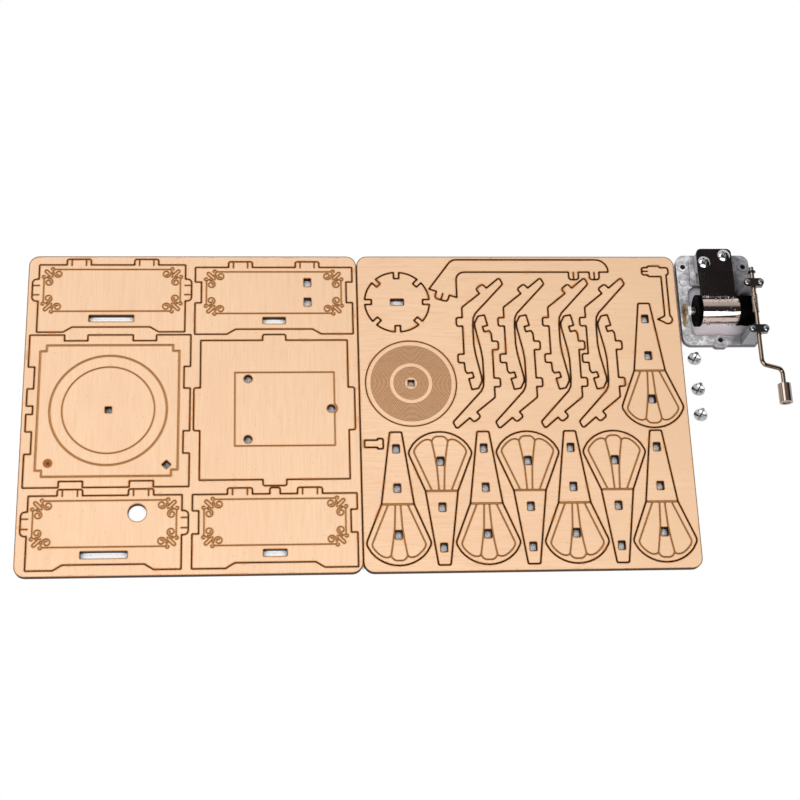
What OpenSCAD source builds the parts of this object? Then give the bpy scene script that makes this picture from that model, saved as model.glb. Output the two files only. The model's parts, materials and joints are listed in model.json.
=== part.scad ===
// Hand-cranked music box kit, laid out flat as it comes out of its bag.
// Two laser-cut plywood sheets hold the pieces of a small box with a record, a horn and a tone arm.
// A cranked comb and drum movement and three loose screws lie to the right of the sheets.
// X runs to the right along the row, Y runs away from the viewer, Z is up.
// The origin is the middle of the whole layout, on the surface that it lies on.

/* [Plywood sheets] */
// Thickness of the plywood
ply_t = 3; // [2.6:0.1:3.4]
// Width of the cut that frees a piece from its sheet
kerf = 0.3; // [0.2:0.05:0.4]
// Radius of the corners of both sheets
sheet_corner_r = 5; // [2:0.5:8]
// Wood between the left edge of a sheet and its first piece
sheet_margin = 2.3; // [1.8:0.1:4]
// Wood between neighbouring pieces of the box
web = 2.1; // [1.4:0.1:4]
// Space between the two sheets on the table
sheet_gap = 0.3; // [0.2:0.1:4]

/* [Box panels] */
// Outside width of the assembled box
box_side = 75.9; // [72:0.1:80]
// Height of the side panels, feet included
panel_h = 35; // [33:0.5:38]
// Width of the tabs along the top of each panel
tab_w = 11.2; // [9:0.1:13]
// Distance between the middles of the two top tabs
tab_spacing = 32.5; // [28:0.5:36]
// Width of the tabs on the upright edges
side_tab_w = 11.2; // [9:0.1:13]
// Depth of the middle of the upright tabs below the panel's top
side_tab_drop = 13.2; // [11:0.2:15]
// Width of the base plate's long tabs
long_tab_w = 21.2; // [18:0.5:24]
// Width of the base plate's short tabs
short_tab_w = 10.7; // [9:0.5:13]
// Width of the small tab that locks the front panel
small_tab_w = 4.4; // [3.6:0.2:5]
// Play between a tab and its slot, on each side
fit_gap = 0.1; // [0.05:0.05:0.2]
// Length of each foot under a panel
foot_l = 15.2; // [12:0.5:18]
// Height of the arch between the feet
foot_h = 2.6; // [2:0.2:3.2]
// Height of the base plate's slot above the feet
slot_rise = 5.3; // [4.6:0.1:6.5]

/* [Record, hub and arms] */
// Radius of the record
record_r = 21.6; // [20:0.2:23]
// Radius of the outer ring engraved on the top plate
platter_r = 27.35; // [24:0.5:28]
// Radius of the hub of the horn
hub_r = 15.7; // [15:0.1:16.4]
// Length of the slot in the hub
hub_slot_l = 6.4; // [5.6:0.2:7]
// Length of the horn arm
arm_l = 89.4; // [86:0.2:92]
// Width of the horn arm's stem
arm_w = 6.4; // [5.6:0.2:7]
// Distance between the horn arm's two pegs
peg_pitch = 10.4; // [9.6:0.2:11]
// Width of each peg of the horn arm
peg_w = 4.6; // [4:0.2:5]
// Length of the tone arm's needle stem
needle_l = 22; // [18:0.5:23]

/* [Horn petals and ribs] */
// Length of a petal
petal_l = 64.7; // [63:0.1:65.5]
// Radius of the petal's outer rim
petal_fan_r = 16.3; // [15.6:0.1:16.8]
// Width of the petal at its waist
petal_waist_w = 15; // [14:0.2:15.6]
// Width of the petal's narrow end
petal_tail_w = 5.4; // [4.8:0.2:6]
// Distance between neighbouring petals in their row
petal_pitch = 20.85; // [20.6:0.05:21]
// Length of a rib
rib_l = 58.6; // [57:0.2:59]
// Distance between the first and the last pair of ribs
rib_span = 60.9; // [60:0.1:61.4]

/* [Movement] */
// Width of the bedplate
bed_w = 37; // [36:0.5:39]
// Length of the bedplate
bed_l = 48.5; // [48:0.5:51]
// Thickness of the bedplate's edge
bed_t = 3.2; // [2.8:0.1:3.8]
// Distance of the two rear mounting holes from the bedplate's sides
hole_side = 3.25; // [3:0.05:3.8]
// Distance of the two rear mounting holes from the bedplate's rear edge
hole_rear = 6.5; // [5.8:0.1:7]
// Radius of the music drum
drum_r = 6.5; // [6:0.1:6.8]
// Width of the worm wheel's toothed rim
wheel_rim_w = 4.6; // [4.2:0.1:5]
// Height of the drum's axis
drum_z = 9.1; // [9:0.1:9.8]
// Number of teeth on the comb
tine_count = 18; // [16:1:20]
// Number of teeth on the worm wheel
wheel_teeth = 45; // [42:1:48]
// Height of the crank shaft's axis
crank_z = 18.3; // [18.2:0.1:20]
// Distance of the crank shaft from the music drum's right end
crank_offset = 6.5; // [6.2:0.1:6.7]
// Radius of the crank wire
wire_r = 1.1; // [0.9:0.05:1.3]
// Throw of the crank
crank_throw = 13.5; // [11:0.5:14]
// Angle of the crank below level as it lies
crank_hang = 30; // [0:5:40]
// Radius of the knob
knob_r = 3.2; // [2.8:0.1:3.6]
// Length of the knob
knob_l = 9.4; // [8:0.2:11]

/* [Loose screws] */
// Radius of the head of a mounting screw
screw_head_r = 3.3; // [3:0.1:3.5]
// Radius of the shank of a mounting screw
screw_r = 1.25; // [1:0.05:1.4]
// Length of the shank of a mounting screw
screw_l = 4; // [3.5:0.5:7]

/* [Hidden] */

// Colours
wood = "burlywood";
frame_wood = "wheat";
zinc = "silver";
black_steel = "#202020";
nickel = "lightgray";
brass_tan = "tan";

// Smoothness of round holes and shafts
$fn = 64;
// Largest turn between two points of a rounded corner, in degrees
arc_step = 15;
// How far every cut runs past the face that it opens
overrun = 0.5;

// Engraving
engrave_depth = 0.25;
engrave_w = 0.4;
bold_w = 0.7;
fine_w = 0.22;
slit_w = 0.22;

// Box details
tab_r = 0.7;
side_tab_r = 1.8;
slit_inset = 2.15;
side_slit_offset = 2.45;
slit_root = 0.3;
slot_w = ply_t + 3 * fit_gap;
foot_slope = 4.2;
frame_inset = 2.25;
frame_bottom_share = 0.695;
ring_share = 0.79;
spindle_w = 3.1;
arm_hole_inset = 7.95;
dot_r = 2;
dot_share = [-0.356, 0.346];
diamond_share = [0.363, 0.36];
plate_step = 3;
plate_frame_inset = 5.15;
crank_hole_r = 4.2;
mount_hole_r = 1.95;
footprint_rear = 6.2;
footprint_front = 1.6;
footprint_bump_r = 2.8;

// Corner scroll: its reach along the frame, its curls, and the leaf and small loops between them
scroll = 8.6;
curl_share = 0.25;
curl_at_share = [0.785, 0.265];
curl_end_share = 0.3;
leaf_share = 0.085;
leaf_from_share = 0.16;
leaf_to_share = 0.6;
loop_at_share = [0.46, -0.026];
loop_tail_share = [0.44, 0.25];
dot_at_share = 0.65;
frame_line_share = 0.57;

// Sheet layout
box_half = box_side / 2;
sheet_w = 2 * sheet_margin + 2 * box_side + web;
row_gap_share = 0.62;
upper_gap_share = 0.9;
lower_margin_share = 0.4;
top_margin = 1.8;
petal_row_gap = 1.7;
column_1 = sheet_margin + box_half;
column_2 = column_1 + box_side + web;
upper_row = top_margin + ply_t;
middle_row = upper_row + panel_h + web * upper_gap_share + box_half;
lower_row = middle_row + box_half + web * row_gap_share + ply_t;
rear_panel_drop = web * row_gap_share;
left_stack_h = lower_row + panel_h + sheet_margin + web * lower_margin_share;
// The ribs, the row of petals and the record share the right sheet's height
rib_row = 11.7;
petal_margin = 3.3;
rib_turn_share = [0.3309, 0.6706];
record_place_share = [0.1565, 0.4188];
rib_row_end = rib_row + 2 * rib_l * rib_turn_share[1];
record_end = left_stack_h * record_place_share[1] + record_r;
petal_row = max(rib_row_end, record_end) + petal_row_gap;
sheet_h = max(left_stack_h, petal_row + petal_l + petal_margin);
right_x = sheet_w + sheet_gap;

// Functions for outlines. Every outline is a list of corners [x, y, radius].
function flat(p) = [p[0], p[1]];
function unit(v) = v / norm(v);
function arc(centre, r, from, to, count) =
    [for (i = [0:count]) centre + r * [cos(from + (to - from) * i / count),
                                       sin(from + (to - from) * i / count)]];
// Round one corner b between its neighbours a and c
function corner(a, b, c) =
    b[2] == 0 ? [flat(b)] :
    let (u = unit(flat(a) - flat(b)),
         v = unit(flat(c) - flat(b)),
         half = acos(u * v) / 2,
         centre = flat(b) + unit(u + v) * b[2] / sin(half),
         first = flat(b) + u * b[2] / tan(half) - centre,
         side = cross(-u, v) > 0 ? 1 : -1,
         start = atan2(first[1], first[0]),
         sweep = side * (180 - 2 * half))
    arc(centre, b[2], start, start + sweep, ceil(abs(sweep) / arc_step));
function outline(corners) =
    let (n = len(corners))
    [for (i = [0:n - 1]) each corner(corners[(i + n - 1) % n], corners[i], corners[(i + 1) % n])];
function twice_area(p) =
    [for (i = 0, s = 0; i <= len(p); s = s + (i < len(p) ? cross(p[i], p[(i + 1) % len(p)]) : 0),
      i = i + 1) s][len(p)];
// Unit normal to the right of the way from a to b
function normal(a, b) = let (d = unit(b - a)) [d[1], -d[0]];
// Shift one point of a path sideways, keeping the width of the path even
function shifted(p, m, n, by) = p + (m + n) * by / (1 + m * n);
// An outline made larger on all sides
function grown(p, by) =
    let (n = len(p), out = twice_area(p) > 0 ? by : -by)
    [for (i = [0:n - 1])
        shifted(p[i], normal(p[(i + n - 1) % n], p[i]), normal(p[i], p[(i + 1) % n]), out)];
// The edge of a line of even width drawn along an open path
function side_of(p, by) =
    let (last = len(p) - 1)
    [for (i = [0:last])
        let (m = normal(p[max(i, 1) - 1], p[max(i, 1)]),
             n = normal(p[min(i, last - 1)], p[min(i, last - 1) + 1]))
        shifted(p[i], m, n, by)];
function reversed(p) = [for (i = [len(p) - 1:-1:0]) p[i]];
function stroke(p, w) = concat(side_of(p, w / 2), reversed(side_of(p, -w / 2)));
function flipped(p) = [for (q = p) [-q[0], q[1]]];
// Corners of a step out of a straight edge: middle, width, height and corner radius
function step_out(middle, w, h, r) =
    [[middle - w / 2, 0, 0], [middle - w / 2, h, r], [middle + w / 2, h, r], [middle + w / 2, 0, 0]];
// Turn an edge drawn left to right, with outwards as its second number, to a side of a plate
function top_edge(e, h) = [for (c = e) [c[0], -h - c[1], c[2]]];
function right_edge(e, h) = [for (c = e) [h + c[1], c[0], c[2]]];
function bottom_edge(e, h) = [for (c = e) [-c[0], h + c[1], c[2]]];
function left_edge(e, h) = [for (c = e) [-h - c[1], -c[0], c[2]]];
function plate_corners(w, h, top, right, bottom, left) =
    concat([[-w / 2, -h / 2, 0]], top_edge(top, h / 2),
           [[w / 2, -h / 2, 0]], right_edge(right, w / 2),
           [[w / 2, h / 2, 0]], bottom_edge(bottom, h / 2),
           [[-w / 2, h / 2, 0]], left_edge(left, w / 2));

// Shared building blocks
module ply() linear_extrude(height = ply_t) children();
module cut_through() translate([0, 0, -overrun]) linear_extrude(height = ply_t + 2 * overrun) children();
module engrave(depth = engrave_depth)
    translate([0, 0, ply_t - depth]) linear_extrude(height = depth + overrun) children();
module groove(path, w = engrave_w) engrave() polygon(stroke(path, w));
module ring_groove(r, w)
    engrave() difference() {
        circle(r = r + w / 2, $fn = 96);
        circle(r = r - w / 2, $fn = 96);
    }
module loop_groove(points, w)
    engrave() difference() {
        polygon(grown(points, w / 2));
        polygon(grown(points, -w / 2));
    }
module window(points) cut_through() polygon(grown(points, kerf));
module box_slot(w, h) cut_through() square([w, h], center = true);
module slit(length) cut_through() translate([-slit_w / 2, 0]) square([slit_w, length]);

// Where things stand: sheet coordinates run right and down from a sheet's top left corner
module on_sheet(x)
    translate([x - layout_w / 2, sheet_h - layout_d / 2, 0]) mirror([0, 1, 0]) children();
module on_left() on_sheet(0) children();
module on_right() on_sheet(right_x) children();

// Side panels of the box, about the middle of the panel
top_tabs = [for (side = [-1, 1]) each step_out(side * tab_spacing / 2, tab_w, ply_t, tab_r)];
arch_half = box_half - foot_l;
arch = [[-arch_half, 0, 0], [-arch_half + foot_slope, -foot_h, 0],
        [arch_half - foot_slope, -foot_h, 0], [arch_half, 0, 0]];
side_tab_at = side_tab_drop - panel_h / 2;
tabbed_w = box_side - 2 * ply_t;
tabbed_edge = step_out(side_tab_at, side_tab_w, ply_t, side_tab_r);
tabbed_points = outline(plate_corners(tabbed_w, panel_h, top_tabs, tabbed_edge, arch,
                                      step_out(-side_tab_at, side_tab_w, ply_t, side_tab_r)));
function notch(at) = step_out(at, side_tab_w + 2 * fit_gap, -ply_t, 0);
function notched_points(tabs) =
    outline(plate_corners(box_side, panel_h, tabs, notch(side_tab_at), arch, notch(-side_tab_at)));
rear_points = notched_points(top_tabs);
lock_tab = step_out(0, small_tab_w, ply_t, tab_r);
front_tabs = concat([for (i = [0:3]) top_tabs[i]], lock_tab, [for (i = [4:7]) top_tabs[i]]);
front_points = notched_points(front_tabs);

module tab_slits()
    for (tab = [-1, 1] * tab_spacing / 2, edge = [-1, 1] * (tab_w / 2 - slit_inset))
        translate([tab + edge, -panel_h / 2 - ply_t - overrun]) slit(ply_t + slit_root + overrun);
module side_tab_slits()
    for (side = [-1, 1], edge = [-1, 1])
        translate([side * (box_half + overrun), side_tab_at + edge * side_slit_offset])
            rotate([0, 0, side * 90]) slit(ply_t + slit_root + overrun);
module base_slot(w)
    translate([0, panel_h / 2 - slot_rise - slot_w / 2]) box_slot(w + 2 * fit_gap, slot_w);

// Engraved frame with a scroll in each corner, about the middle of a panel
frame_w = tabbed_w - 2 * frame_inset;
frame_top = frame_inset - panel_h / 2;
frame_h = panel_h * frame_bottom_share - frame_inset;
function spiral(centre, from_r, to_r, from, turn, count) =
    [for (i = [0:count]) let (r = from_r + (to_r - from_r) * i / count, a = from + turn * i / count)
        centre + r * [cos(a), sin(a)]];
module corner_scroll() {
    curl = scroll * curl_share;
    leaf = scroll * leaf_share;
    for (swap = [0, 1]) mirror([swap, -swap, 0]) {
        groove(spiral(scroll * curl_at_share, curl, curl * curl_end_share, 200, -510, 22));
        groove(concat(arc(scroll * loop_at_share, leaf, 120, 370, 10), [scroll * loop_tail_share]));
    }
    rotate([0, 0, 45]) {
        groove(concat([[scroll * leaf_to_share, -leaf]],
                      arc([scroll * leaf_from_share, 0], leaf, -90, -270, 8),
                      [[scroll * leaf_to_share, leaf]]));
        engrave() translate([scroll * dot_at_share, 0]) circle(r = engrave_w, $fn = 16);
    }
}
module panel_frame()
    translate([0, frame_top + frame_h / 2]) {
        for (flip_x = [0, 1], flip_y = [0, 1])
            mirror([flip_x, 0, 0]) mirror([0, flip_y, 0])
                translate([-frame_w / 2, -frame_h / 2]) corner_scroll();
        line_x = frame_w / 2 - scroll * frame_line_share;
        line_y = frame_h / 2 - scroll * frame_line_share;
        for (side = [-1, 1]) {
            translate([0, side * frame_h / 2]) groove([[-line_x, 0], [line_x, 0]]);
            translate([side * frame_w / 2, 0]) groove([[0, -line_y], [0, line_y]]);
        }
    }
module side_panel(points, slot)
    difference() {
        ply() polygon(points);
        tab_slits();
        base_slot(slot);
        panel_frame();
        children();
    }

module at_plain_side() translate([column_1, upper_row + panel_h / 2]) children();
module at_crank_side() translate([column_1, lower_row + panel_h / 2]) children();
module at_rear() translate([column_2, upper_row + rear_panel_drop + panel_h / 2]) children();
module at_front() translate([column_2, lower_row + panel_h / 2]) children();

module plain_side_panel()
    color(wood) on_left() at_plain_side() side_panel(tabbed_points, long_tab_w) side_tab_slits();

module crank_side_panel()
    color(wood) on_left() at_crank_side() side_panel(tabbed_points, long_tab_w) {
        side_tab_slits();
        // The crank passes out of the box at its height above the base plate
        translate([crank_x - bed_w / 2, panel_h / 2 - slot_rise - (slot_w + ply_t) / 2 - crank_z, -overrun])
            cylinder(r = crank_hole_r, h = ply_t + 2 * overrun);
    }

module rear_panel()
    color(wood) on_left() at_rear() side_panel(rear_points, short_tab_w)
        for (i = [0, 1])
            translate([tab_spacing / 2, -panel_h / 2 + arm_hole_inset + i * peg_pitch])
                box_slot(ply_t + 4 * fit_gap, peg_w - 3 * fit_gap);

module front_panel() color(wood) on_left() at_front() side_panel(front_points, short_tab_w);

// Top plate, with notches for the tabs of all four panels
edge_notches = [for (side = [-1, 1])
    each step_out(side * tab_spacing / 2, tab_w + 2 * fit_gap, -ply_t, 0)];
lock_notch = step_out(0, small_tab_w + fit_gap, -ply_t, 0);
left_notches = concat([for (i = [0:3]) edge_notches[i]], lock_notch, [for (i = [4:7]) edge_notches[i]]);
top_points = outline(plate_corners(box_side, box_side, edge_notches, edge_notches, edge_notches,
                                   left_notches));
module at_top_plate() translate([column_1, middle_row]) children();
frame_half = box_half - plate_frame_inset;
stepped_points = [for (i = [0:3])
    let (a = frame_half, b = frame_half - plate_step, c = cos(i * 90), s = sin(i * 90))
    each [for (p = [[a, b], [b, b], [b, a]]) [p[0] * c - p[1] * s, p[0] * s + p[1] * c]]];
module top_plate()
    color(wood) on_left() at_top_plate() difference() {
        ply() polygon(top_points);
        box_slot(spindle_w, spindle_w);
        translate(box_side * diamond_share) rotate([0, 0, 45]) box_slot(spindle_w, spindle_w);
        engrave() translate(box_side * dot_share) circle(r = dot_r);
        ring_groove(platter_r, bold_w);
        ring_groove(platter_r * ring_share, engrave_w);
        loop_groove(stepped_points, bold_w);
    }

// Base plate, with tabs for the panels' slots and the holes of the movement
long_tab = step_out(0, long_tab_w, ply_t, tab_r);
short_tab = step_out(0, short_tab_w, ply_t, tab_r);
base_points = outline(plate_corners(tabbed_w, tabbed_w, short_tab, long_tab, short_tab, long_tab));
movement_shift = -12.55;
module at_base_plate() translate([column_2, middle_row]) children();
module base_holes()
    for (p = [[0, -hole_span / 2], [0, hole_span / 2], [hole_reach, 0]])
        translate([movement_shift + p[0], p[1], -overrun])
            cylinder(r = mount_hole_r, h = ply_t + 2 * overrun);
module footprint_groove() {
    rear = movement_shift - footprint_rear;
    front = movement_shift + hole_reach + footprint_front;
    bump_y = sqrt(pow(footprint_bump_r, 2) - pow(footprint_front, 2));
    bump = asin(bump_y / footprint_bump_r);
    groove(concat([[front, bump_y], [front, bed_w / 2], [rear, bed_w / 2], [rear, -bed_w / 2],
                   [front, -bed_w / 2], [front, -bump_y]]));
    groove(arc([movement_shift + hole_reach, 0], footprint_bump_r, -bump, bump, 8));
}
module base_plate()
    color(wood) on_left() at_base_plate() difference() {
        ply() polygon(base_points);
        base_holes();
        footprint_groove();
    }

// Left sheet
function sheet_points() =
    outline([[0, 0, sheet_corner_r], [sheet_w, 0, sheet_corner_r],
             [sheet_w, sheet_h, sheet_corner_r], [0, sheet_h, sheet_corner_r]]);
module sheet_frame_left()
    color(frame_wood) on_left() difference() {
        ply() polygon(sheet_points());
        at_plain_side() window(tabbed_points);
        at_crank_side() window(tabbed_points);
        at_rear() window(rear_points);
        at_front() window(front_points);
        at_top_plate() window(top_points);
        at_base_plate() window(base_points);
    }

// Hub of the horn, a disc with eight notches for the ribs
hub_place_share = [0.1221, 0.1531];
notch_w = ply_t - fit_gap;
notch_d = 3.3;
notch_turn = asin(notch_w / 2 / hub_r);
notch_count = 8;
notch_step = 360 / notch_count;
hub_points = [for (i = [0:notch_count - 1]) each concat(
    [for (side = [-1, 1])
        let (x = hub_r - notch_d, y = side * notch_w / 2, turn = i * notch_step)
        [x * cos(turn) - y * sin(turn), x * sin(turn) + y * cos(turn)]],
    arc([0, 0], hub_r, i * notch_step + notch_turn, (i + 1) * notch_step - notch_turn, 5))];
module at_hub() translate([sheet_w * hub_place_share[0], sheet_h * hub_place_share[1]]) children();
module horn_hub()
    color(wood) on_right() at_hub() difference() {
        ply() polygon(hub_points);
        box_slot(hub_slot_l, ply_t + 2 * fit_gap);
    }

// Record, with two bands of fine grooves
band_share = [0.89, 0.48, 0.38, 0.13];
groove_pitch = 0.62;
module at_record()
    translate([sheet_w * record_place_share[0], left_stack_h * record_place_share[1]]) children();
module groove_band(outer, inner)
    for (r = [outer:-groove_pitch:inner]) ring_groove(r, fine_w);
module record_disc()
    color(wood) on_right() at_record() difference() {
        ply() circle(r = record_r, $fn = 128);
        box_slot(spindle_w + 3 * fit_gap, spindle_w + 3 * fit_gap);
        groove_band(record_r * band_share[0], record_r * band_share[1]);
        groove_band(record_r * band_share[2], record_r * band_share[3]);
    }

// Horn arm: two pegs for the rear panel at one end and a tenon for the hub at the other
arm_place_share = [0.2243, 0.0119];
arm_end_w = 13.9;
arm_end_turn = 18.4;
arm_drop = 20;
arm_run = 11.45;
arm_tenon_l = 3.7;
arm_peg_l = 4.1;
arm_peg_r = 1.2;
arm_bend_r = 4.3;
arm_nose_r = 6;
arm_peg_inset = 0.575;
arm_heel = [arm_end_w * cos(arm_end_turn), arm_drop];
function along_end(s, out) =
    arm_heel - s * [cos(arm_end_turn), sin(arm_end_turn)] + out * [-sin(arm_end_turn), cos(arm_end_turn)];
function end_corner(s, out, r) = concat(along_end(s, out), [r]);
arm_tenon_w = hub_slot_l - fit_gap;
arm_pegs_at = [for (i = [0, 1]) arm_l - arm_w - arm_peg_inset - i * peg_pitch];
arm_corners = concat(
    [[arm_run, 0, arm_bend_r], [arm_l, 0, arm_nose_r], [arm_l, arm_w, 0]],
    [for (x = arm_pegs_at) each [[x + peg_w / 2, arm_w, 0], [x + peg_w / 2, arm_w + arm_peg_l, arm_peg_r],
                                 [x - peg_w / 2, arm_w + arm_peg_l, arm_peg_r], [x - peg_w / 2, arm_w, 0]]],
    [[arm_heel[0], arm_w, arm_bend_r]],
    [end_corner(0, 0, 0)],
    [end_corner((arm_end_w - arm_tenon_w) / 2, 0, 0),
     end_corner((arm_end_w - arm_tenon_w) / 2, arm_tenon_l, arm_peg_r),
     end_corner((arm_end_w + arm_tenon_w) / 2, arm_tenon_l, arm_peg_r),
     end_corner((arm_end_w + arm_tenon_w) / 2, 0, 0)],
    [end_corner(arm_end_w, 0, 0)]);
arm_points = outline(arm_corners);
module at_arm() translate([sheet_w * arm_place_share[0], sheet_h * arm_place_share[1]]) children();
module horn_arm()
    color(wood) on_right() at_arm() difference() {
        ply() polygon(arm_points);
        for (x = arm_pegs_at) translate([x, arm_w]) slit(arm_peg_l + overrun);
        translate(along_end(arm_end_w / 2, 0)) rotate([0, 0, arm_end_turn]) slit(arm_tenon_l + overrun);
    }

// Tone arm, with its tenon for the top plate, its stem and the needle
tone_place_share = [0.8972, 0.05];
tone_tenon_w = 3.7;
tone_body_w = 5.4;
tone_body_l = 5.8;
tone_end_w = 3.6;
tone_l = 13;
tone_r = 0.9;
needle_w = 2.3;
needle_ball_r = 2.2;
needle_tip = 4.6;
needle_x = tone_l - needle_ball_r - fit_gap;
needle_y = tone_end_w / 2 + needle_l + needle_ball_r;
needle_root = asin(needle_w / 2 / needle_ball_r);
tone_corners = concat(
    [[0, -tone_tenon_w / 2, tone_r], [ply_t, -tone_tenon_w / 2, 0],
     [ply_t, -tone_body_w / 2, tone_r / 2], [ply_t + tone_body_l, -tone_body_w / 2, tone_r / 2],
     [ply_t + tone_body_l, -tone_end_w / 2, 0], [tone_l, -tone_end_w / 2, tone_r],
     [tone_l, tone_end_w / 2, tone_r], [needle_x + needle_w / 2, tone_end_w / 2, 0]],
    [for (p = arc([needle_x, needle_y], needle_ball_r, needle_root - 90, 140, 12)) [p[0], p[1], 0]],
    [[needle_x - needle_tip, needle_y, 0]],
    [for (p = arc([needle_x, needle_y], needle_ball_r, 220, 270 - needle_root, 3)) [p[0], p[1], 0]],
    [[needle_x - needle_w / 2, tone_body_w / 2, 0], [ply_t, tone_body_w / 2, tone_r / 2],
     [ply_t, tone_tenon_w / 2, 0], [0, tone_tenon_w / 2, tone_r]]);
tone_points = outline(tone_corners);
tone_x = max(sheet_w * tone_place_share[0], sheet_w * arm_place_share[0] + arm_l + web);
module at_tone() translate([tone_x, sheet_h * tone_place_share[1]]) children();
module tone_arm()
    color(wood) on_right() at_tone() difference() {
        ply() polygon(tone_points);
        translate([-overrun, 0]) rotate([0, 0, -90]) slit(ply_t + overrun);
    }

// Peg that holds the record on the top plate
peg_place_share = [0.012, 0.6097];
pin_w = 3.3;
pin_l = 6.1;
pin_head_w = 4.8;
pin_head_l = 2.4;
pin_points = outline([[0, -pin_w / 2, 0], [pin_l, -pin_w / 2, 0], [pin_l, -pin_head_w / 2, 0],
                      [pin_l + pin_head_l, -pin_head_w / 2, tab_r / 2],
                      [pin_l + pin_head_l, pin_head_w / 2, tab_r / 2],
                      [pin_l, pin_head_w / 2, 0], [pin_l, pin_w / 2, 0], [0, pin_w / 2, 0]]);
module at_peg() translate([sheet_w * peg_place_share[0], sheet_h * peg_place_share[1]]) children();
module record_peg() color(wood) on_right() at_peg() ply() polygon(pin_points);

// Petals of the horn. Three square holes take the tabs of a rib.
petal_hole_share = [0.126, 0.4266, 0.7759];
petal_hole_w = ply_t + 2 * fit_gap;
petal_hole_l = 4.1;
petal_waist_share = 0.549;
petal_corner_r = 3;
fan_turn = 68;
fan_round_share = 0.76;
fan_at = petal_l - petal_fan_r;
waist_y = petal_l * petal_waist_share;
petal_half = concat(
    [[petal_tail_w / 2, 0, tab_r / 2], [petal_waist_w / 2, waist_y, 0]],
    [[petal_fan_r * sin(fan_turn), fan_at + petal_fan_r * cos(fan_turn), petal_corner_r]],
    [for (p = arc([0, fan_at], petal_fan_r, 90 - fan_turn * fan_round_share, 90, 6)) [p[0], p[1], 0]]);
petal_corners = concat(petal_half, [for (i = [len(petal_half) - 2:-1:0])
                                       [-petal_half[i][0], petal_half[i][1], petal_half[i][2]]]);
petal_points = outline(petal_corners);
// Engraved lobes, as shares of the fan's radius, measured from the fan's centre
lobe_side_share = [[-0.28, -0.78], [-0.76, 0.37], [-0.76, 0.43], [-0.73, 0.5], [-0.66, 0.59], [-0.58, 0.67],
                   [-0.5, 0.73], [-0.42, 0.765], [-0.34, 0.775], [-0.28, 0.76], [-0.235, 0.72]];
lobe_divider_share = [[-0.075, -0.78], [-0.11, -0.09], [-0.17, 0.34], [-0.235, 0.72]];
lobe_middle_share = [[-0.235, 0.72], [-0.2, 0.79], [-0.15, 0.84], [-0.09, 0.865],
                     [0.09, 0.865], [0.15, 0.84], [0.2, 0.79], [0.235, 0.72]];
function on_fan(shares) = [for (p = shares) [p[0] * petal_fan_r, fan_at + p[1] * petal_fan_r]];
module petal()
    difference() {
        ply() polygon(petal_points);
        for (share = petal_hole_share)
            translate([0, petal_l * share]) box_slot(petal_hole_w, petal_hole_l);
        groove([[-petal_waist_w / 2 + engrave_w, waist_y], [petal_waist_w / 2 - engrave_w, waist_y]], bold_w);
        for (side = [on_fan(lobe_side_share), on_fan(lobe_divider_share)]) {
            groove(side);
            groove(flipped(side));
        }
        groove(on_fan(lobe_middle_share));
    }
petal_first_share = 0.1044;
petal_spare_share = 0.893;
// Seven petals lie head to tail in one row, the eighth above the row's right end
module at_petal(i) {
    x = i < 7 ? sheet_w * petal_first_share + i * petal_pitch : sheet_w * petal_spare_share;
    y = i < 7 ? petal_row : rib_row_end - petal_l;
    upside_down = i < 7 && i % 2 == 1;
    translate([x, y + (upside_down ? petal_l : 0)]) rotate([0, 0, upside_down ? 180 : 0]) children();
}
module horn_petal(i) color(wood) on_right() at_petal(i) petal();

// Ribs of the horn. Each has two tabs on its straight back, one on its slope and a hook for the hub.
rib_w_share = 0.34;
rib_w = rib_span * rib_w_share;
rib_tab_l = ply_t;
rib_tab_w = petal_hole_l + fit_gap;
rib_slope_turn = 39.2;
rib_slope_share = 0.27;
rib_tab_share = [0.728, 0.4];
rib_tip_tab_at = 14;
rib_tip_tab_r = 1.05;
rib_heel_share = [[0, 0.773], [0.01, 0.836], [0.05, 0.858], [0.174, 0.848], [0.208, 0.9], [0.087, 0.91],
                  [0.145, 1], [0.29, 0.99], [0.377, 0.93], [0.372, 0.892]];
rib_back_share = [[0.304, 0.773], [0.256, 0.688], [0.227, 0.602], [0.227, 0.432], [0.246, 0.363],
                  [0.304, 0.321]];
rib_tip_share = [[0.99, 0.055], [0.92, 0]];
function rib_corners_from(shares, r) = [for (p = shares) [p[0] * rib_w, p[1] * rib_l, r]];
function on_slope(s, out) =
    [0, rib_l * rib_slope_share] + s * [cos(rib_slope_turn), -sin(rib_slope_turn)]
    - out * [sin(rib_slope_turn), cos(rib_slope_turn)];
function slope_corner(s, out, r) = concat(on_slope(s, out), [r]);
rib_corners = concat(
    [for (share = rib_tab_share) each [[0, rib_l * share + rib_tab_w / 2, 0],
                                       [-rib_tab_l, rib_l * share + rib_tab_w / 2, tab_r],
                                       [-rib_tab_l, rib_l * share - rib_tab_w / 2, tab_r],
                                       [0, rib_l * share - rib_tab_w / 2, 0]]],
    [slope_corner(0, 0, tab_r),
     slope_corner(rib_tip_tab_at - rib_tab_w / 2, 0, 0),
     slope_corner(rib_tip_tab_at - rib_tab_w / 2, rib_tab_l, rib_tip_tab_r),
     slope_corner(rib_tip_tab_at + rib_tab_w / 2, rib_tab_l, rib_tip_tab_r),
     slope_corner(rib_tip_tab_at + rib_tab_w / 2, 0, 0)],
    [for (p = reversed(rib_corners_from(rib_tip_share, tab_r))) p],
    [for (p = reversed(rib_corners_from(rib_back_share, 0))) p],
    [for (p = reversed(rib_corners_from(rib_heel_share, 0))) p]);
rib_points = outline(rib_corners);
rib_pair_share = [0, 0.337, 0.698, 1];
rib_place_share = 0.323;
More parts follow.
